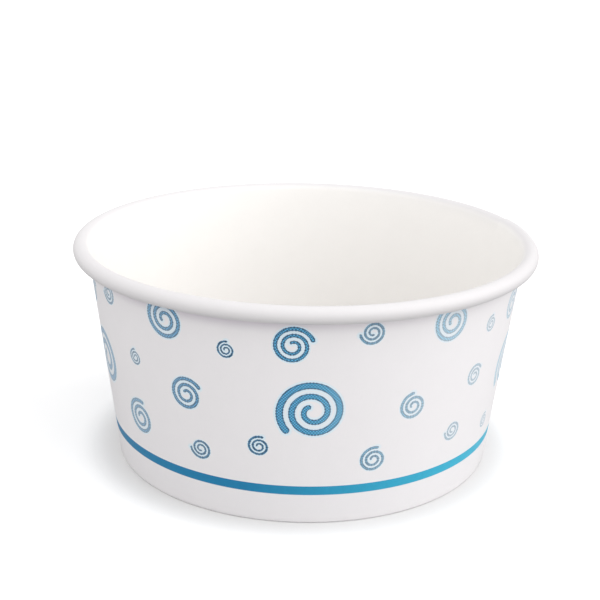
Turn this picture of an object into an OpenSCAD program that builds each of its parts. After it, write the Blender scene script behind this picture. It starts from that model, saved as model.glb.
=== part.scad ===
// Round paper bowl for cold food: a rolled side wall with a curled rim, and a recessed base disc.
// The origin is on the bowl's axis, in the plane it stands on. +Z is up and the front is towards -Y.

/* [Bowl] */
// Overall height, from the table to the top of the rim
height = 55; // [45:0.5:80]
// Diameter over the outside of the rolled rim
rim_d = 115; // [108:0.5:125]
// Diameter over the outside of the foot
foot_d = 95; // [85:0.5:98]

/* [Board] */
// Thickness of the board of the side wall
wall_t = 0.4; // [0.3:0.05:0.5]
// Thickness of the board of the base
base_t = 0.35; // [0.25:0.05:0.5]
// Clearance on each side of the skirt, where the boards are sealed together
seal_gap = 0.03; // [0.02:0.01:0.05]

/* [Rim] */
// Outside diameter of the rolled rim in section
curl_d = 3.9; // [3.2:0.1:5]
// Clearance between the tucked edge inside the roll and the wall
tuck_gap = 0.05; // [0.04:0.01:0.2]
// How far the tucked edge goes on past the lowest point of the roll, in degrees
tuck_angle = 170; // [90:5:175]

/* [Foot] */
// Height of the underside of the base above the table
recess_h = 6; // [5.5:0.5:10]
// Inside radius of the bend between the base and its skirt
base_bend_r = 0.5; // [0.3:0.1:1.2]
// Distance from the fold of the foot up to the top of the hem inside it
hem_h = 3.6; // [2.5:0.1:3.8]
// Clearance between the fold and the lower edge of the skirt
skirt_gap = 0.3; // [0.1:0.1:1]
// How much of the fold is pressed flat where the bowl stands on it
press = 0.08; // [0.04:0.02:0.16]

/* [Side seam] */
// Direction of the middle of the seam, seen from above and counted from +X
seam_angle = 15.5; // [0:0.5:160]
// Width of the overlap at the foot
seam_w = 6.5; // [5:0.5:9]
// How far the second layer stands proud on each face of the wall
seam_t = 0.2; // [0.1:0.05:0.25]

/* [Print] */
// Height of the lower edge of the stripe above the table
stripe_z = 7.6; // [3:0.1:9]
// Height of the stripe
stripe_w = 2.3; // [1:0.1:3]
// Width of a spiral's line at its outer end, as a share of the spiral's size
line_share = 0.1; // [0.08:0.005:0.13]
// How far the ink stands proud of the wall
ink_t = 0.06; // [0.04:0.01:0.1]

/* [Hidden] */
// Colours of the white board and of the ink
board_colour = [0.95, 0.95, 0.96];
ink_colour = [0.16, 0.53, 0.72];
// Angle of one step in a bend or roll of board
bend_step = 15;
// Steps in a whole turn of the bowl
$fn = 120;
// Clearance between the ends of the seam's added layers and the boards that they run up to
seam_clear = 0.3;
// Bare margin between the print and the cut edges of the lap
print_margin = 0.2;

// The skirt's slot, and the fold round it: the wall turns under the skirt and goes back up
slot_w = base_t + 2 * seal_gap;
fold_r = (slot_w + wall_t) / 2;
fold_x = foot_d / 2 - fold_r - wall_t / 2;
fold_z = fold_r + wall_t / 2 - press;
// The roll of the rim
curl_r = (curl_d - wall_t) / 2;
curl_x = rim_d / 2 - curl_d / 2;
curl_z = height - curl_d / 2;
tuck_r = curl_r - wall_t - tuck_gap;
roll_foot = curl_z - curl_d / 2 - seam_clear;
tuck_z = curl_z - curl_r + tuck_r;
// The wall is the line that touches the fold on its right and the roll on its left
span = norm([curl_x - fold_x, curl_z - fold_z]);
lean = atan2(curl_x - fold_x, curl_z - fold_z) - asin((fold_r + curl_r) / span);
// Middle of the bend between the base and its skirt
bend_r = base_bend_r + base_t / 2;
bend_z = recess_h + base_t / 2 - bend_r;
bend_x = fold_x + (bend_z - fold_z) * tan(lean) - bend_r / cos(lean);
// Half the overlap of the seam in degrees, and how far inside the wall its added layers start
seam_half = seam_w / foot_d * 180 / PI;
seam_root = wall_t / 4;
// Turns of a spiral, so that its outer end is a quarter turn on from its inner end
turns = 2.25;
// Radius of a spiral's inner end, and width of its line there, as shares of the spiral's size
spiral_start = 0.09;
start_share = 0.075;
// How far the straight stretches of a spiral's outline may leave the curve
outline_error = 0.2;
// Thickness of the block that each spiral is cut from, and room left beside it on the wall
ink_block = 4;
ink_room = 0.3;
// The pattern repeats in steps of two fifths of a turn, so the last copy is a half one
pattern_step = 144;
pattern_start = -160;
// The spirals: direction, height as a share of the bare wall from the stripe up to the roll, size,
// direction of the outer end, and 1 where it is drawn outwards anticlockwise or -1 for clockwise
SPIRALS = [
    [-159, 0.45, 16.8, 220, 1],
    [-87.5, 0.47, 16.8, 220, 1],
    [-148, 0.93, 6.2, 190, -1],
    [-125, 0.915, 11, 108, -1],
    [-108.5, 0.805, 4.6, 85, -1],
    [-92.5, 0.84, 9.5, 20, -1],
    [-74, 0.93, 6.2, 190, -1],
    [-52, 0.92, 11, 108, -1],
    [-35.5, 0.815, 4.6, 80, -1],
    [-21, 0.84, 9.5, 20, -1],
    [-138, 0.605, 4.5, 95, -1],
    [-120.5, 0.485, 9.3, 35, -1],
    [-61, 0.45, 7.4, 97, -1],
    [-39.5, 0.52, 6.1, 35, -1],
    [-139.5, 0.215, 10, 72, -1],
    [-117.5, 0.16, 5.8, 185, -1],
    [-101, 0.24, 5.6, 72, -1],
    [-71, 0.15, 7, 77, -1],
    [-45.5, 0.21, 5.5, 185, -1],
    [-27, 0.135, 4.4, 72, -1]
];

// Distance from the axis to the middle of the wall's board, at a height
function wall_x(z) = fold_x + fold_r / cos(lean) + (z - fold_z) * tan(lean);
// Distance from the axis to the wall's outer face, at a height
function face_x(z) = wall_x(z) + wall_t / 2 / cos(lean);
// Places along a bend of radius r round [x, z], from angle a to angle b, each with the
// direction that its board faces: 1 faces away from the middle of the bend, -1 faces it
function bend(x, z, r, a, b, facing) =
    let (steps = ceil(abs(b - a) / bend_step))
    [for (i = [0:steps]) let (w = a + (b - a) * i / steps)
        [x + r * cos(w), z + r * sin(w), w + (facing > 0 ? 0 : 180)]];
// The point at a distance from a place, on the side that it faces
function beside(place, distance) =
    [place[0] + distance * cos(place[2]), place[1] + distance * sin(place[2])];
function reversed(list) = [for (i = [len(list) - 1:-1:0]) list[i]];

// The place at a height on the middle line of the wall, which faces the inside of the bowl
function wall_place(z) = [wall_x(z), z, 180 - lean];
// The point at a distance along the slot, up from the middle of the fold
function slot_point(s) = [fold_x + s * sin(lean), fold_z + s * cos(lean)];

// The middle line of the wall's board, from the hem round the fold, and over the rim into the roll
hem_top = slot_point(hem_h) + fold_r * [-cos(lean), sin(lean)];
fold_path = concat(
    [[hem_top[0], hem_top[1], -lean]],
    bend(fold_x, fold_z, fold_r, 180 - lean, 360 - lean, -1)
);
roll_path = bend(curl_x, curl_z, curl_r, 180 - lean, -90, 1);
tuck_path = bend(curl_x, tuck_z, tuck_r, -90 - bend_step, -90 - tuck_angle, 1);
// The middle line of the base's board, from the lower edge of the skirt to the bowl's axis
skirt_foot = slot_point(skirt_gap - slot_w / 2);
base_path = concat(
    [[skirt_foot[0], skirt_foot[1], 180 - lean]],
    bend(bend_x, bend_z, bend_r, -lean, 90, -1),
    [[0, bend_z + bend_r, 270]]
);

// The band that lies between two distances from a path, on the side that it faces
module layer(path, from, to) {
    polygon(concat(
        [for (place = path) beside(place, from)],
        reversed([for (place = path) beside(place, to)])
    ));
}

module wall_section() {
    difference() {
        layer(concat(fold_path, roll_path, tuck_path), -wall_t / 2, wall_t / 2);
        translate([0, -foot_d])
            square(foot_d);
    }
}

module base_section() {
    layer(base_path, -base_t / 2, base_t / 2);
}

// The blank's two edges lap at the seam. The layer outside ends below the roll of the rim, and the
// layer inside starts above the base and follows the roll nearly all the way round.
module seam_section() {
    over_base = recess_h + base_t + seam_clear;
    outer = -wall_t / 2 - seam_t;
    inner = wall_t / 2 + seam_t;
    layer([wall_place(fold_z), wall_place(roll_foot)], outer, seam_root - wall_t / 2);
    layer(
        concat([wall_place(over_base)], [for (i = [0:len(roll_path) - 5]) roll_path[i]]),
        wall_t / 2 - seam_root, inner
    );
}

// Sweeps a section over the lap, less a margin at each of its edges
module around_seam(margin = 0) {
    half = seam_half - margin / foot_d * 360 / PI;
    rotate([0, 0, seam_angle - half])
        rotate_extrude(angle = 2 * half)
            children();
}

// The section of the ink between two heights. It is one with the board, and stands proud of it or of
// what covers it there.
module ink_section(z0, z1, cover = 0) {
    layer([wall_place(z0), wall_place(z1)], -wall_t / 2 - cover - ink_t, seam_root - wall_t / 2);
}

// The stripe runs all the way round, and steps up where it crosses the overlap
module stripe() {
    top = stripe_z + stripe_w;
    rotate_extrude() ink_section(stripe_z, top);
    around_seam(print_margin) ink_section(stripe_z, top, seam_t);
}

// The place on a spiral line a share t of the way out: radius, direction, and half the line's width
function on_spiral(size, t) = [
    size * (spiral_start + ((1 - line_share) / 2 - spiral_start) * t),
    360 * turns * t,
    size * (start_share + (line_share - start_share) * t) / 2
];
function polar(r, w) = r * [cos(w), sin(w)];
// One edge of the line, and the round end of the line that starts at an angle to the direction there
function spiral_edge(size, t, side) = let (p = on_spiral(size, t)) polar(p[0] + side * p[2], p[1]);
function spiral_end(size, t, from) =
    let (p = on_spiral(size, t))
    [for (w = [45, 90, 135]) polar(p[0], p[1]) + polar(p[2], p[1] + from + w)];

// A spiral line that widens outwards, as one outline: out along one edge, and back along the other.
// Its outer end points up.
module spiral(size) {
    steps = ceil(180 * turns / acos(1 - outline_error / (size / 2)));
    polygon(concat(
        [for (i = [0:steps]) spiral_edge(size, i / steps, 1)],
        spiral_end(size, 1, 0),
        [for (i = [steps:-1:0]) spiral_edge(size, i / steps, -1)],
        spiral_end(size, 0, 180)
    ));
}

// A spiral printed on the wall at a direction and height, cut from the ink round that place
module printed_spiral(direction, height_share, size, end_angle, hand) {
    stripe_top = stripe_z + stripe_w;
    z = stripe_top + height_share * (roll_foot - stripe_top);
    reach = size / 2 + ink_room;
    half = reach / wall_x(z) * 180 / PI;
    intersection() {
        rotate([0, 0, direction - half])
            rotate_extrude(angle = 2 * half)
                ink_section(max(z - reach, stripe_top), min(z + reach, roll_foot));
        rotate([0, 0, direction])
            translate([face_x(z), 0, z])
                rotate([0, lean, 0])
                    rotate([90, 0, 90])
                        linear_extrude(height = ink_block, center = true)
                            rotate(end_angle - 90)
                                mirror([hand > 0 ? 0 : 1, 0])
                                    spiral(size);
    }
}

// The pattern of spirals all the way round, less those whose middle lies on the lap
module pattern() {
    copies = [
        for (start = [0:pattern_step:359])
            for (s = SPIRALS)
                let (direction = s[0] + start)
                if (direction < pattern_start + 360 && abs(direction - seam_angle) > seam_half)
                    [direction, s]
    ];
    for (c = copies)
        printed_spiral(c[0], c[1][1], c[1][2], c[1][3], c[1][4]);
}

// The rolled blank. The print is ink on its outer face, and no piece of its own.
module side_wall() {
    color(board_colour) {
        rotate_extrude() wall_section();
        around_seam() seam_section();
    }
    color(ink_colour)
        stripe();
    color(ink_colour)
        pattern();
}

module base_disc() {
    color(board_colour)
        rotate_extrude() base_section();
}

side_wall();
base_disc();
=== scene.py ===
# Paper bowl: a rolled side wall of coated board with a printed pattern, round a base disc of board.
# The side wall is built here as one sheet, with its lap, roll and fold; the base disc is the CAD's.
import math

import bpy
import numpy as np
from mathutils import Matrix, Vector


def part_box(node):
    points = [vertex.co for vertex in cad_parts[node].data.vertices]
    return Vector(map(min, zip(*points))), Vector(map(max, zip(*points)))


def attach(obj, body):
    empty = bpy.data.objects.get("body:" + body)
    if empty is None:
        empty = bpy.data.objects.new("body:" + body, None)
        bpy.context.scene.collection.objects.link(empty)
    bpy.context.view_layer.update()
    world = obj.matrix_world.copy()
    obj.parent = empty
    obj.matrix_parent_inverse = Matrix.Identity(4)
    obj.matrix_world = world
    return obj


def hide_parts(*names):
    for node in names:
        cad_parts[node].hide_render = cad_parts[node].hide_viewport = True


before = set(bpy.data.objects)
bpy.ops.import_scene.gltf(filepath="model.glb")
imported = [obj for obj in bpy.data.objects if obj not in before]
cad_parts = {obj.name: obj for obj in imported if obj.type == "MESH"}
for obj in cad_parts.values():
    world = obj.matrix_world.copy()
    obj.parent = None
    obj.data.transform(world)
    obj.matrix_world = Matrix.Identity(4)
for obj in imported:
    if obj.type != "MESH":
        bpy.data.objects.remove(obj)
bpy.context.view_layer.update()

MM = 0.001  # every size below is in millimetres, and objects are in metres

# The bowl, with the values of part.scad
RIM_D = (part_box("side_wall")[1].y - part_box("side_wall")[0].y) / MM
HEIGHT = 55.0
FOOT_D = 95.0
WALL_T = 0.4
BASE_T = 0.35
SEAL_GAP = 0.03
CURL_D = 3.9
TUCK_GAP = 0.05
TUCK_ANGLE = 170.0
HEM_H = 3.6
PRESS = 0.08
SEAM_ANGLE = 15.5
SEAM_W = 6.5
SEAM_T = 0.2
SEAM_CLEAR = 0.3
STRIPE_Z = 7.6
STRIPE_W = 2.3

# The print. A spiral is its direction, height as a share of the bare wall from the stripe up to the
# roll, size, direction of its outer end, and 1 where it is drawn outwards anticlockwise or -1 for
# clockwise. The rows are those of part.scad, but for the one at -92.5, which is 0.84 and 9.5 there.
TURNS = 2.25
LINE_SHARE = 0.1
START_SHARE = 0.075
SPIRAL_START = 0.09
PATTERN_STEP = 144.0
PATTERN_START = -160.0
SPIRALS = [
    (-159, 0.45, 16.8, 220, 1),
    (-87.5, 0.47, 16.8, 220, 1),
    (-148, 0.93, 6.2, 190, -1),
    (-125, 0.915, 11, 108, -1),
    (-108.5, 0.805, 4.6, 85, -1),
    (-92.5, 0.86, 10, 20, -1),
    (-74, 0.93, 6.2, 190, -1),
    (-52, 0.92, 11, 108, -1),
    (-35.5, 0.815, 4.6, 80, -1),
    (-21, 0.84, 9.5, 20, -1),
    (-138, 0.605, 4.5, 95, -1),
    (-120.5, 0.485, 9.3, 35, -1),
    (-61, 0.45, 7.4, 97, -1),
    (-39.5, 0.52, 6.1, 35, -1),
    (-139.5, 0.215, 10, 72, -1),
    (-117.5, 0.16, 5.8, 185, -1),
    (-101, 0.24, 5.6, 72, -1),
    (-71, 0.15, 7, 77, -1),
    (-45.5, 0.21, 5.5, 185, -1),
    (-27, 0.135, 4.4, 72, -1),
]

# How finely the sheet is cut up
COLUMNS = 360
PRINT_ROWS = 60
PLAIN_ROWS = 14
BEND_STEP = 10.0

# Linear colours
PAPER = (0.885, 0.862, 0.874)       # the printed side
INSIDE = (0.880, 0.863, 0.843)      # the side that faces the food
ROLL_SHADE = (0.750, 0.730, 0.738)        # the same side, painted darker as shade where it is rolled over
STRIPE_DEEP = (0.010, 0.215, 0.430)  # the stripe's ink away from the key light
STRIPE_SHEEN = (0.045, 0.490, 0.690)  # and on the side towards it, painted paler as a sheen
CORE_DEEP = (0.085, 0.295, 0.510)   # the spirals' ink in the middle of a line
CORE_SHEEN = (0.090, 0.430, 0.620)   # the same on the side towards the key light, painted paler as a sheen
EDGE_INK = (0.030, 0.085, 0.165)    # and at its edges, where it gathers
HALO = (0.66, 0.86, 0.97)           # the paper beside a line
UNDER_ROLL_SHADE = (0.79, 0.755, 0.81)    # a painted shade on the paper close under the roll, as a factor


# The sheet's middle line, as in part.scad

slot_w = BASE_T + 2 * SEAL_GAP
fold_r = (slot_w + WALL_T) / 2
fold_x = FOOT_D / 2 - fold_r - WALL_T / 2
fold_z = fold_r + WALL_T / 2 - PRESS
curl_r = (CURL_D - WALL_T) / 2
curl_x = RIM_D / 2 - CURL_D / 2
curl_z = HEIGHT - CURL_D / 2
tuck_r = curl_r - WALL_T - TUCK_GAP
tuck_z = curl_z - curl_r + tuck_r
span = math.hypot(curl_x - fold_x, curl_z - fold_z)
lean = math.atan2(curl_x - fold_x, curl_z - fold_z) - math.asin((fold_r + curl_r) / span)
LEAN = math.degrees(lean)
stripe_top = STRIPE_Z + STRIPE_W
roll_foot = curl_z - CURL_D / 2 - SEAM_CLEAR


def wall_x(z):
    """Distance from the axis to the middle of the wall's board, at a height."""
    return fold_x + fold_r / math.cos(lean) + (z - fold_z) * math.tan(lean)


def bend(x, z, radius, start, end, facing):
    """Places (r, z, direction that side A faces) along a bend of the board."""
    steps = math.ceil(abs(end - start) / BEND_STEP)
    places = []
    for i in range(steps + 1):
        angle = start + (end - start) * i / steps
        w = math.radians(angle)
        places.append((x + radius * math.cos(w), z + radius * math.sin(w),
                       angle if facing > 0 else angle + 180))
    return places


def straight(start, end, rows):
    """Places strictly between two places of the board that face the same way."""
    return [tuple(a + (b - a) * i / rows for a, b in zip(start, end)) for i in range(1, rows)]


def board_path(rows):
    """The middle line from the hem round the fold, up the wall and into the roll's tucked end."""
    fold = bend(fold_x, fold_z, fold_r, 180 - LEAN, 360 - LEAN, -1)
    roll = bend(curl_x, curl_z, curl_r, 180 - LEAN, -90, 1)
    tuck = bend(curl_x, tuck_z, tuck_r, -90 - BEND_STEP, -90 - TUCK_ANGLE, 1)
    hem_top = (fold[0][0] + HEM_H * math.sin(lean), fold[0][1] + HEM_H * math.cos(lean), fold[0][2])
    fold = [(x, z, facing % 360) for x, z, facing in fold]
    foot_of_wall = (fold[-1][0], fold[-1][1], 180 - LEAN)
    head_of_wall = (roll[0][0], roll[0][1], 180 - LEAN)
    hem = [hem_top] + straight(hem_top, (fold[0][0], fold[0][1], hem_top[2]), 3)
    return hem + fold + straight(foot_of_wall, head_of_wall, rows) + roll + tuck


def ease(x):
    """0 up to x = 0, 1 from x = 1, and smooth between."""
    x = np.clip(x, 0.0, 1.0)
    return x * x * (3 - 2 * x)


# The sheet as a mesh

LAP_RAMP = 9.0       # degrees over which the sheet steps off its own edge
EDGE = 0.012         # degrees between the two columns of a cut edge
seam_half = math.degrees(SEAM_W / FOOT_D)
lap_start = SEAM_ANGLE - seam_half
lap_end = SEAM_ANGLE + seam_half


def column_directions():
    """Directions of the columns, in degrees, with a pair close together at each cut edge."""
    even = np.arange(COLUMNS) * 360.0 / COLUMNS
    pairs = [lap_start - EDGE, lap_start, lap_end, lap_end + EDGE]
    clear = [d for d in even if min(abs(d - p) for p in pairs) > 0.3]
    return np.array(sorted(clear + pairs))


def lap(direction, outside):
    """How far the second layer of the lap stands proud, as a share: sharp at its cut edge, eased at
    the other."""
    if outside:
        eased = ease(1 - (direction - lap_end) / LAP_RAMP)
        return np.where(direction >= lap_start - EDGE / 2, eased, 0.0)
    eased = ease(1 - (lap_start - direction) / LAP_RAMP)
    return np.where(direction <= lap_end + EDGE / 2, eased, 0.0)


def waver(direction, z):
    """The slight unevenness of rolled board, in millimetres away from the axis."""
    w = np.radians(direction)
    share = z / HEIGHT
    slow = 0.09 * np.sin(2 * w + 0.7) * share + 0.05 * np.sin(3 * w - 1.1 + 1.3 * share) * share
    quick = 0.018 * np.sin(11 * w + 4.1 * share) * np.sin(math.pi * share)
    return slow + quick


def sheet_side(path, directions, outside):
    """Points of one side of the sheet, as an array of rows by columns by 3, in millimetres. The side
    called outside carries the print, and the other faces the inside of the bowl."""
    places = np.array(path)
    rows = len(places)
    roll_turn = np.clip((places[:, 2] - (180 - LEAN)) / -180.0, 0, 2)  # half turns into the roll
    in_roll = (np.arange(rows) > rows // 2) & (places[:, 2] < 180 - LEAN - 1)
    height = ease((places[:, 1] - 1.2) / 1.6) if outside else ease((places[:, 1] - 6.6) / 0.3)
    on_wall = (np.arange(rows) > rows // 3) | (places[:, 1] > 5)
    fade = np.where(in_roll, ease(1.6 - roll_turn), 1.0) if not outside else \
        np.where(in_roll, ease(1 - roll_turn * 2), 1.0)
    second = SEAM_T * (height * on_wall * fade)[:, None] * lap(directions, outside)[None, :]
    off = (WALL_T / 2 + second) * (-1 if outside else 1)
    facing = np.radians(places[:, 2])[:, None]
    r = places[:, 0][:, None] + off * np.cos(facing)
    z = places[:, 1][:, None] + off * np.sin(facing)
    z = np.maximum(z, 0.0) + 0 * directions[None, :]
    r = r + waver(directions[None, :], z)
    w = np.radians(directions)[None, :]
    return np.stack([r * np.cos(w), r * np.sin(w), z], axis=2)


def strip_faces(first, second, count):
    """Quads between two rows of a closed ring, given the index of each row's first point."""
    j = np.arange(count)
    k = (j + 1) % count
    return np.stack([first + j, first + k, second + k, second + j], axis=1)


def blank_place(direction, z):
    """Where a point of the wall lies on the flat blank: distance from the cone's apex, and angle."""
    return wall_x(z) / math.sin(lean), np.radians(direction) * math.sin(lean)


def pattern():
    """Every printed spiral, all the way round, clear of the lap."""
    for step in range(3):
        for direction, share, size, end, hand in SPIRALS:
            turned = direction + PATTERN_STEP * step
            z = stripe_top + share * (roll_foot - stripe_top)
            if turned < PATTERN_START + 360 and abs(turned - SEAM_ANGLE) > seam_half:
                yield turned, z, size, end, hand


def spiral_coordinates(corners, centres):
    """For each corner, its place in the frame of the spiral nearest to its face: across and up in
    spiral sizes, with the outer end up and drawn anticlockwise, and the spiral's size."""
    best = np.full(len(centres), 1e9)
    local = np.zeros((len(corners), 4, 3))
    for direction, z, size, end, hand in pattern():
        rho = blank_place(direction, z)[0]

        def flat(points):
            turn = (points[..., 0] - direction + 180) % 360 - 180
            r, w = blank_place(turn, points[..., 1])
            return r * np.sin(w), r * np.cos(w) - rho

        across, up = flat(centres)
        beyond = np.hypot(across, up) - size / 2
        nearest = beyond < best
        best[nearest] = beyond[nearest]
        x, y = flat(corners[nearest])
        turn = math.radians(end - 90)
        a = (x * math.cos(turn) + y * math.sin(turn)) * (1 if hand > 0 else -1)
        b = -x * math.sin(turn) + y * math.cos(turn)
        local[nearest] = np.stack([a / size, b / size, np.full_like(a, size)], axis=2)
    return local


def make_side_wall(print_side, food_side):
    directions = column_directions()
    count = len(directions)
    plain_path = board_path(PLAIN_ROWS)
    print_path = board_path(PRINT_ROWS)
    inner = sheet_side(plain_path, directions, False)
    outer = sheet_side(print_path, directions, True)
    points = np.concatenate([inner.reshape(-1, 3), outer.reshape(-1, 3)]) * MM
    outer_start = inner.shape[0] * count
    faces = [strip_faces((i + 1) * count, i * count, count) for i in range(inner.shape[0] - 1)]
    outer_faces = [strip_faces(outer_start + i * count, outer_start + (i + 1) * count, count)
                   for i in range(outer.shape[0] - 1)]
    hem_edge = strip_faces(0, outer_start, count)
    tuck_edge = strip_faces(outer_start + (outer.shape[0] - 1) * count,
                            (inner.shape[0] - 1) * count, count)
    faces = np.concatenate(faces + outer_faces + [hem_edge, tuck_edge])
    mesh = bpy.data.meshes.new("side_wall_sheet")
    mesh.from_pydata(points.tolist(), [], faces.tolist())
    mesh.update()
    add_print_attributes(mesh, faces, points / MM, outer_start, count, inner.shape[0] - 1,
                         outer.shape[0] - 1)
    mesh.materials.append(print_side)
    mesh.materials.append(food_side)
    number = np.arange(len(faces))
    prints = (number >= (inner.shape[0] - 1) * count) & (number < len(faces) - 2 * count)
    mesh.polygons.foreach_set("material_index", np.where(prints, 0, 1).astype(np.int32))
    mesh.polygons.foreach_set("use_smooth", np.ones(len(faces), dtype=bool))
    mesh.set_sharp_from_angle(angle=math.radians(40))
    sheet = bpy.data.objects.new("side_wall_sheet", mesh)
    bpy.context.scene.collection.objects.link(sheet)
    return sheet


def add_print_attributes(mesh, faces, points, outer_start, count, inner_rows, outer_rows):
    """Stores, on each corner, its place on the flat blank and in its spiral's frame."""
    place = points[faces]
    direction = np.degrees(np.arctan2(place[..., 1], place[..., 0]))
    first = direction[:, :1]
    direction = first + (direction - first + 180) % 360 - 180
    z = place[..., 2]
    number = np.arange(len(faces))
    on_outer = (number >= inner_rows * count) & (number < (inner_rows + outer_rows) * count)
    row = (number - inner_rows * count) // count
    fold_rows = 4 + math.ceil(180 / BEND_STEP)
    printed = on_outer & (row >= fold_rows) & (row < fold_rows + PRINT_ROWS + 1)
    spiral = np.full((len(faces), 4, 3), 9.0)
    corners = np.stack([direction, z], axis=2)
    spiral[printed] = spiral_coordinates(corners[printed], corners[printed].mean(axis=1))
    rho, psi = blank_place(direction, z)
    blank = np.stack([psi * rho.mean(), (z - fold_z) / math.cos(lean),
                      np.repeat(printed[:, None], 4, axis=1).astype(float)], axis=2)
    for name, values in (("spiral", spiral), ("blank", blank)):
        attribute = mesh.attributes.new(name, "FLOAT_VECTOR", "CORNER")
        attribute.data.foreach_set("vector", values.astype(np.float32).ravel())


# Materials

class Graph:
    """The nodes of a material or of the world, written as calls that return sockets."""

    def __init__(self, owner):
        self.owner = owner
        owner.use_nodes = True
        self.tree = owner.node_tree
        self.tree.nodes.clear()

    def node(self, kind, **settings):
        node = self.tree.nodes.new(kind)
        for key, value in settings.items():
            setattr(node, key, value)
        return node

    def feed(self, socket, value):
        if isinstance(value, bpy.types.NodeSocket):
            self.tree.links.new(value, socket)
        elif socket.type == "RGBA":
            socket.default_value = (*value, 1.0)
        else:
            socket.default_value = value

    def math(self, operation, *values, clamp=False):
        node = self.node("ShaderNodeMath", operation=operation, use_clamp=clamp)
        for socket, value in zip(node.inputs, values):
            self.feed(socket, value)
        return node.outputs[0]

    def mix(self, factor, first, second, blend="MIX"):
        node = self.node("ShaderNodeMix", data_type="RGBA", blend_type=blend)
        self.feed(node.inputs[0], factor)
        self.feed(node.inputs[6], first)
        self.feed(node.inputs[7], second)
        return node.outputs[2]

    def ramp(self, value, low, high):
        """0 where the value is low or less, 1 where it is high or more."""
        node = self.node("ShaderNodeMapRange", interpolation_type="SMOOTHSTEP", clamp=True)
        self.feed(node.inputs["Value"], value)
        node.inputs["From Min"].default_value = low
        node.inputs["From Max"].default_value = high
        return node.outputs[0]

    def noise(self, vector, scale, detail=3.0, roughness=0.55):
        node = self.node("ShaderNodeTexNoise")
        self.feed(node.inputs["Vector"], vector)
        node.inputs["Scale"].default_value = scale
        node.inputs["Detail"].default_value = detail
        node.inputs["Roughness"].default_value = roughness
        return node.outputs["Fac"]

    def from_axis(self):
        """The place on the object, seen from its Z axis."""
        flat = self.node("ShaderNodeVectorMath", operation="MULTIPLY")
        self.feed(flat.inputs[0], self.node("ShaderNodeTexCoord").outputs["Object"])
        flat.inputs[1].default_value = (1.0, 1.0, 0.0)
        return flat.outputs[0]

    def radius(self):
        """Distance from the object's Z axis."""
        length = self.node("ShaderNodeVectorMath", operation="LENGTH")
        self.feed(length.inputs[0], self.from_axis())
        return length.outputs["Value"]

    def towards(self, direction):
        """1 on the side of the object at a direction in degrees, 0 a quarter turn away and beyond."""
        unit = self.node("ShaderNodeVectorMath", operation="NORMALIZE")
        self.feed(unit.inputs[0], self.from_axis())
        along = self.node("ShaderNodeVectorMath", operation="DOT_PRODUCT")
        self.feed(along.inputs[0], unit.outputs[0])
        w = math.radians(direction)
        along.inputs[1].default_value = (math.cos(w), math.sin(w), 0.0)
        return self.math("MAXIMUM", along.outputs["Value"], 0.0)

    def split(self, name):
        attribute = self.node("ShaderNodeAttribute", attribute_name=name)
        parts = self.node("ShaderNodeSeparateXYZ")
        self.tree.links.new(attribute.outputs["Vector"], parts.inputs[0])
        return parts.outputs[0], parts.outputs[1], parts.outputs[2]


def paper_grain(graph):
    """The board's faint mottle, as a factor near 1, and the height of its fibres for the bump."""
    position = graph.node("ShaderNodeTexCoord").outputs["Object"]
    stretched = graph.node("ShaderNodeMapping")
    stretched.inputs["Scale"].default_value = (1.0, 1.0, 0.45)
    graph.tree.links.new(position, stretched.inputs["Vector"])
    fibres = graph.noise(stretched.outputs[0], 2600.0, 4.0, 0.6)
    clouds = graph.noise(position, 240.0, 3.0)
    mottle = graph.math("MULTIPLY_ADD", clouds, 0.024, 0.988)
    grain = graph.math("MULTIPLY_ADD", fibres, 0.030, 0.985)
    return graph.math("MULTIPLY", mottle, grain), graph.math("ADD", fibres, clouds)


def finish_paper(graph, colour, roughness, height):
    shader = graph.node("ShaderNodeBsdfPrincipled")
    graph.feed(shader.inputs["Base Color"], colour)
    graph.feed(shader.inputs["Roughness"], roughness)
    shader.inputs["Specular IOR Level"].default_value = 0.35
    bump = graph.node("ShaderNodeBump")
    bump.inputs["Strength"].default_value = 0.18
    bump.inputs["Distance"].default_value = 0.03 * MM
    graph.feed(bump.inputs["Height"], height)
    graph.tree.links.new(bump.outputs[0], shader.inputs["Normal"])
    output = graph.node("ShaderNodeOutputMaterial")
    graph.tree.links.new(shader.outputs[0], output.inputs[0])
    return graph.owner


def plain_board(name):
    graph = Graph(bpy.data.materials.new(name))
    mottle, height = paper_grain(graph)
    # The board is painted darker where it is rolled over, as painted shade
    roll_shade = graph.ramp(graph.radius(), (curl_x - 2.2) * MM, (curl_x - 0.9) * MM)
    colour = graph.mix(roll_shade, INSIDE, ROLL_SHADE)
    colour = graph.mix(1.0, colour, mottle, "MULTIPLY")
    return finish_paper(graph, colour, 0.42, height)


def spiral_line(graph):
    """How far inside the spiral's line a point is, in millimetres."""
    x, y, size = graph.split("spiral")
    end_angle = 2 * math.pi * TURNS
    pitch = ((1 - LINE_SHARE) / 2 - SPIRAL_START) / end_angle
    radius = graph.math("SQRT", graph.math("ADD", graph.math("MULTIPLY", x, x),
                                           graph.math("MULTIPLY", y, y)))
    angle = graph.math("ARCTAN2", y, x)
    wound = graph.math("DIVIDE", graph.math("SUBTRACT", radius, SPIRAL_START), pitch)
    turn = graph.math("ROUND", graph.math("DIVIDE", graph.math("SUBTRACT", wound, angle),
                                          2 * math.pi))
    along = graph.math("MULTIPLY_ADD", turn, 2 * math.pi, angle)
    along = graph.math("MINIMUM", graph.math("MAXIMUM", along, 0.0), end_angle)
    line_r = graph.math("MULTIPLY_ADD", along, pitch, SPIRAL_START)
    off_x = graph.math("SUBTRACT", x, graph.math("MULTIPLY", line_r, graph.math("COSINE", along)))
    off_y = graph.math("SUBTRACT", y, graph.math("MULTIPLY", line_r, graph.math("SINE", along)))
    off = graph.math("SQRT", graph.math("ADD", graph.math("MULTIPLY", off_x, off_x),
                                        graph.math("MULTIPLY", off_y, off_y)))
    half = graph.math("MULTIPLY_ADD", along, (LINE_SHARE - START_SHARE) / 2 / end_angle,
                      START_SHARE / 2)
    return graph.math("MULTIPLY", graph.math("SUBTRACT", half, off), size)
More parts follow.
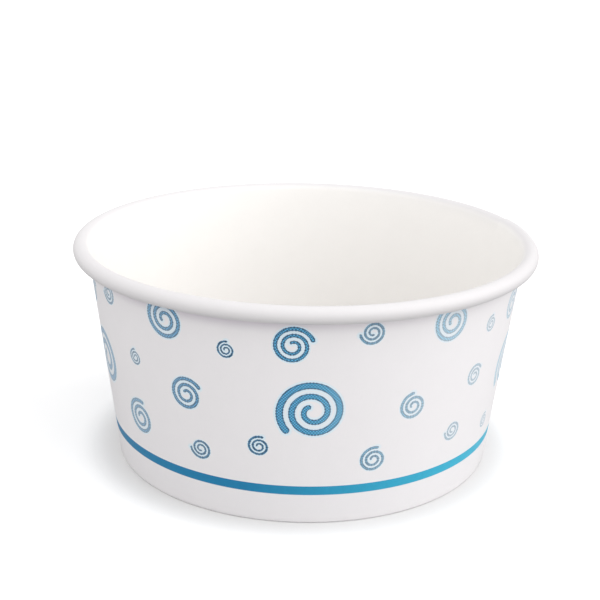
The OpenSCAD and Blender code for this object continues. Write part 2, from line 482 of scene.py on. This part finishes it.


# The print is painted paler in two directions, a painted sheen of the light, as the photo shows it:
# how far round from each direction that starts, as a cosine, and how fast it grows
SHEEN_SIDE = -15.0    # towards the key light
SHEEN_FROM = 0.3
SHEEN_GAIN = 0.9
FAR_SHEEN_SIDE = 180.0
FAR_SHEEN_FROM = 0.32
FAR_SHEEN_GAIN = 0.65
SHEEN_MOST = 0.6         # the most that the painted sheen pales the ink

# Millimetres, but for shares
SCREEN = 0.50        # spacing of the halftone's dots
SCREEN_EDGE = 0.07   # how far the dots break up a line's edge
DOT_SHADE = 0.80     # how much the dots darken and lighten the ink, as a share
EDGE_W = 0.42        # how far into a line the dark edge reaches
HALO_REACH = 0.85    # how far out of a line the pale edge of the paper reaches
HALO_COVER = 0.75    # how strong that edge is, as a share
STRIPE_SOFT = 0.05   # how soft the stripe's edges are
UNDER_REACH = 3.5    # how far below the roll the painted shade starts to darken the paper


def painted_sheen(graph, direction, start, gain):
    """How much the ink is painted paler towards a direction, as a sheen, as a share."""
    beyond = graph.math("MAXIMUM", graph.math("SUBTRACT", graph.towards(direction), start), 0.0)
    return graph.math("MULTIPLY", beyond, gain)


def halftone(graph, along, up):
    """A lattice of dots at 45 degrees on the blank, from -1 to 1."""
    turn = math.pi * math.sqrt(2) / SCREEN
    one = graph.math("SINE", graph.math("MULTIPLY", along, turn))
    other = graph.math("SINE", graph.math("MULTIPLY", up, turn))
    return graph.math("MULTIPLY", one, other)


def printed_board(name):
    graph = Graph(bpy.data.materials.new(name))
    mottle, height = paper_grain(graph)
    paper = graph.mix(1.0, PAPER, mottle, "MULTIPLY")
    along, up, printed = graph.split("blank")
    dots = halftone(graph, along, up)
    inside = spiral_line(graph)
    broken = graph.math("MULTIPLY_ADD", dots, SCREEN_EDGE, inside)
    # The side towards the key light, where the print is painted paler as a sheen
    pale = graph.towards(SHEEN_SIDE)
    # The paper just under the roll is painted darker on the side away from the key light, as painted
    # shade
    roll_up = (roll_foot - fold_z) / math.cos(lean)
    under = graph.math("MULTIPLY", graph.ramp(up, roll_up - UNDER_REACH, roll_up + 0.5),
                       graph.math("MULTIPLY", printed, graph.math("SUBTRACT", 1.0, pale)))
    paper = graph.mix(under, paper, graph.mix(1.0, paper, UNDER_ROLL_SHADE, "MULTIPLY"))
    sheen_share = graph.math("ADD", painted_sheen(graph, SHEEN_SIDE, SHEEN_FROM, SHEEN_GAIN),
                        painted_sheen(graph, FAR_SHEEN_SIDE, FAR_SHEEN_FROM, FAR_SHEEN_GAIN))
    strength = graph.math("SUBTRACT", 1.0, graph.math("MINIMUM", sheen_share, SHEEN_MOST))
    strength = graph.math("MULTIPLY", printed, strength)
    line = graph.math("MULTIPLY", graph.ramp(broken, -0.04, 0.05), strength)
    halo = graph.math("MULTIPLY", graph.ramp(inside, -HALO_REACH, -0.05), strength)
    core = graph.ramp(inside, 0.02, EDGE_W)
    ink = graph.mix(core, EDGE_INK, graph.mix(pale, CORE_DEEP, CORE_SHEEN))
    shade = graph.math("MULTIPLY_ADD", dots, DOT_SHADE, 1.0)
    ink = graph.mix(1.0, ink, shade, "MULTIPLY")
    colour = graph.mix(graph.math("MULTIPLY", halo, HALO_COVER), paper, HALO)
    colour = graph.mix(line, colour, ink)
    middle = (STRIPE_Z + STRIPE_W / 2 - fold_z) / math.cos(lean)
    off = graph.math("ABSOLUTE", graph.math("SUBTRACT", up, middle))
    half = STRIPE_W / 2 / math.cos(lean)
    stripe = graph.math("SUBTRACT", 1.0, graph.ramp(off, half - STRIPE_SOFT, half + STRIPE_SOFT))
    stripe = graph.math("MULTIPLY", stripe, printed)
    cover = graph.noise(graph.node("ShaderNodeTexCoord").outputs["Object"], 900.0, 2.0)
    stripe_ink = graph.mix(pale, STRIPE_DEEP, STRIPE_SHEEN)
    cover = graph.math("MULTIPLY_ADD", cover, 0.16, 0.92)
    stripe_ink = graph.mix(1.0, stripe_ink, cover, "MULTIPLY")
    colour = graph.mix(stripe, colour, stripe_ink)
    inked = graph.math("MAXIMUM", line, stripe)
    roughness = graph.math("MULTIPLY_ADD", inked, -0.10, 0.50)
    return finish_paper(graph, colour, roughness, height)


# Stage

FOCAL = 73.0         # on Blender's sensor of 36 mm
CAMERA_AT = (0.0, -293.712, 137.096)
CAMERA_RIGHT = (0.99977096, 0.01049616, 0.01865093)
CAMERA_UP = (-0.02103292, 0.32082794, 0.94690393)
CAMERA_FORWARD = (-0.00395512, 0.94707933, -0.32097522)


def make_camera():
    data = bpy.data.cameras.new("camera")
    data.lens = FOCAL
    data.clip_start = 0.01
    data.clip_end = 50.0
    camera = bpy.data.objects.new("camera", data)
    bpy.context.scene.collection.objects.link(camera)
    axes = Matrix((CAMERA_RIGHT, CAMERA_UP, [-c for c in CAMERA_FORWARD])).transposed()
    camera.matrix_world = Matrix.Translation(Vector(CAMERA_AT) * MM) @ axes.to_4x4()
    bpy.context.scene.camera = camera


FLOOR_SEEN = 1.10    # the floor as the camera sees it, so that it renders white
FLOOR_SHADOW_NEAR = 0.77    # the same close to the foot, darker as a painted contact shadow
SHADOW_REACH = 12.0  # how far from the foot the painted contact shadow ends
FLOOR_BOUNCE = 0.45  # the floor as it lights the bowl
FLOOR_HALF = 6.0     # metres


def make_floor():
    mesh = bpy.data.meshes.new("floor")
    corners = [(-1, -1), (1, -1), (1, 1), (-1, 1)]
    mesh.from_pydata([(x * FLOOR_HALF, y * FLOOR_HALF, 0) for x, y in corners], [], [(0, 1, 2, 3)])
    floor = bpy.data.objects.new("floor", mesh)
    bpy.context.scene.collection.objects.link(floor)
    graph = Graph(bpy.data.materials.new("floor"))
    seen = graph.node("ShaderNodeLightPath").outputs["Is Camera Ray"]
    # Close to the foot the floor is painted darker, as a contact shadow
    beyond = graph.ramp(graph.radius(), FOOT_D / 2 * MM, (FOOT_D / 2 + SHADOW_REACH) * MM)
    pale = graph.mix(beyond, (FLOOR_SHADOW_NEAR,) * 3, (FLOOR_SEEN,) * 3)
    colour = graph.mix(seen, (FLOOR_BOUNCE,) * 3, pale)
    shader = graph.node("ShaderNodeBsdfDiffuse")
    graph.feed(shader.inputs["Color"], colour)
    output = graph.node("ShaderNodeOutputMaterial")
    graph.tree.links.new(shader.outputs[0], output.inputs[0])
    mesh.materials.append(graph.owner)


SKY_LIGHT = 1.06
SKY_TILT = (-0.16, -0.17, -0.11)  # how much brighter the sky is towards +X, +Y and +Z, as shares
KEY_STRENGTH = 1.45
KEY_SOFTNESS = 70.0              # degrees across
KEY_FROM = (0.86, -0.20, 0.50)   # where the key light stands, seen from the bowl


def make_light():
    world = bpy.data.worlds.new("world")
    bpy.context.scene.world = world
    graph = Graph(world)
    seen = graph.node("ShaderNodeLightPath").outputs["Is Camera Ray"]
    tilt = graph.node("ShaderNodeVectorMath", operation="DOT_PRODUCT")
    graph.feed(tilt.inputs[0], graph.node("ShaderNodeTexCoord").outputs["Generated"])
    tilt.inputs[1].default_value = SKY_TILT
    level = graph.math("MULTIPLY_ADD", tilt.outputs["Value"], SKY_LIGHT, SKY_LIGHT)
    background = graph.node("ShaderNodeBackground")
    graph.feed(background.inputs["Color"], graph.mix(seen, level, (1.0, 1.0, 1.0)))
    output = graph.node("ShaderNodeOutputWorld")
    graph.tree.links.new(background.outputs[0], output.inputs[0])
    data = bpy.data.lights.new("key", "SUN")
    data.energy = KEY_STRENGTH
    data.angle = math.radians(KEY_SOFTNESS)
    key = bpy.data.objects.new("key", data)
    bpy.context.scene.collection.objects.link(key)
    key.rotation_mode = "QUATERNION"
    key.rotation_quaternion = Vector(KEY_FROM).to_track_quat("Z", "Y")


# The scene

bpy.context.scene.view_settings.view_transform = "Standard"
make_camera()
make_floor()
make_light()

food_side = plain_board("food_side_board")
side_wall = make_side_wall(printed_board("printed_board"), food_side)
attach(side_wall, "root")
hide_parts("side_wall")

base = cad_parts["base_disc"]
base.data.materials.clear()
base.data.materials.append(food_side)
